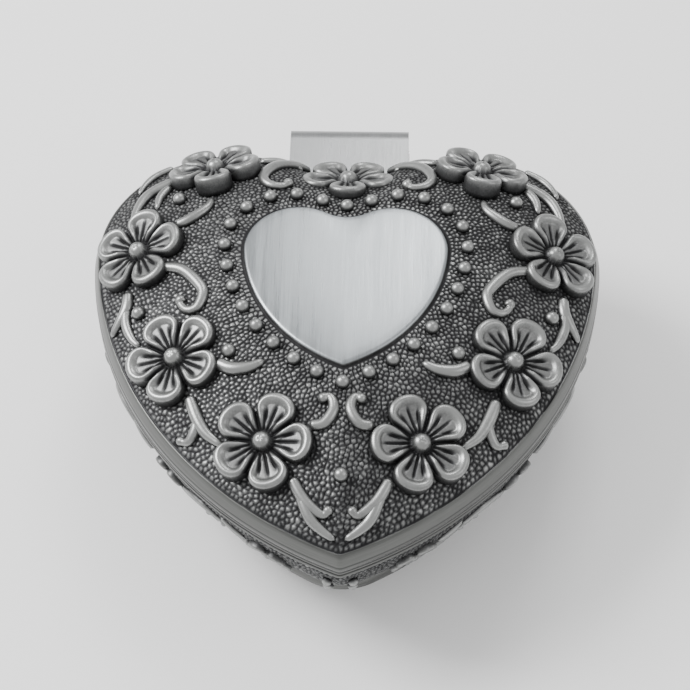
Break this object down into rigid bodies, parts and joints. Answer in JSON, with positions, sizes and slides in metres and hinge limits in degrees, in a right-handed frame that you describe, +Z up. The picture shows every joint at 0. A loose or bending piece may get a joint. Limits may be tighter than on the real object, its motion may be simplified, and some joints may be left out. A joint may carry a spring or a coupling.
{
  "type": "wind up music box",
  "caption": "Heart-shaped hinged metal trinket box with flower relief on a domed lid, velvet lined, holding a wind-up comb-and-cylinder musical movement with a key underneath",
  "frame": {"origin": "middle of the footprint (hinge included) on the table plane under the foot pads", "axes": "+Z up; +Y towards the hinge; -Y towards the tip of the heart, which is the front; +X to the right seen from the front"},
  "size_m": [0.104, 0.1098, 0.0459],
  "materials": {
    "pewter": "antiqued cast pewter-coloured zinc alloy, dark in the recesses and rubbed bright on the relief",
    "pin_steel": "plain drawn steel rod",
    "felt": "black felt",
    "velvet": "deep wine-red velvet",
    "card": "grey-brown backing card",
    "bed_alloy": "as-cast zinc alloy, fine satin",
    "steel": "ground steel",
    "spring_steel": "blued spring steel",
    "brass": "turned brass",
    "nickel": "nickel plate",
    "white_nylon": "moulded nylon"
  },
  "bodies": {
    "base": {"base_shell": "pewter", "foot_pads": "felt", "floor_lining": "velvet", "wall_lining": "velvet", "divider": "velvet", "ring_cushion": "velvet", "bedplate": "bed_alloy", "mounting_screws": "nickel", "mounting_washers": "nickel", "spring_housing": "nickel", "mainspring": "spring_steel", "cylinder_bearing": "nickel", "bearing_screws": "nickel", "comb": "steel", "comb_screws": "nickel", "governor_frame": "nickel", "governor_screws": "nickel", "stop_lever_pin": "brass"},
    "lid": {"lid_shell": "pewter", "lid_pad": "velvet", "lid_board": "card", "hinge_pin": "pin_steel"},
    "winding_train": {"winding_arbor": "steel", "winding_key": "nickel", "great_wheel": "brass", "ratchet_wheel": "steel", "click": "steel", "click_screw": "steel"},
    "cylinder_group": {"cylinder": "brass", "cylinder_pins": "steel", "cylinder_arbor": "steel", "cylinder_pinion": "brass", "cylinder_wheel": "brass"},
    "governor_shaft": {"governor_arbor": "steel", "governor_pinion": "steel", "worm_wheel": "white_nylon"},
    "fan_shaft": {"worm": "steel", "air_fan": "brass"},
    "stop_arm": {"stop_lever": "steel"}
  },
  "joints": [
    {"name": "lid_hinge", "type": "hinge", "parent": "base", "child": "lid", "pos_m": [0, 0.0497, 0.0295], "axis": [-1, 0, 0], "range_deg": [0, 100]},
    {"name": "cylinder_spin", "type": "hinge", "parent": "base", "child": "cylinder_group", "pos_m": [0, 0.0137, 0.0253], "axis": [-1, 0, 0], "continuous": true},
    {"name": "key_turn", "type": "hinge", "parent": "base", "child": "winding_train", "pos_m": [-0.0155, 0.0137, 0.004], "axis": [0, 0, -1], "continuous": true},
    {"name": "governor_spin", "type": "hinge", "parent": "base", "child": "governor_shaft", "pos_m": [0, 0.0221, 0.0253], "axis": [1, 0, 0], "continuous": true},
    {"name": "fan_spin", "type": "hinge", "parent": "base", "child": "fan_shaft", "pos_m": [0.0208, 0.0268, 0.02], "axis": [0, 0, -1], "continuous": true},
    {"name": "stop_lever_tilt", "type": "hinge", "parent": "base", "child": "stop_arm", "pos_m": [0.025, 0.0187, 0.021], "axis": [1, 0, 0], "range_deg": [0, 10]}
  ],
  "couplings": [
    {"joint": "key_turn", "follows": "cylinder_spin", "ratio": 0.25},
    {"joint": "governor_spin", "follows": "cylinder_spin", "ratio": 6},
    {"joint": "fan_spin", "follows": "cylinder_spin", "ratio": 120},
    {"joint": "stop_lever_tilt", "follows": "lid_hinge", "ratio": 0.1}
  ]
}
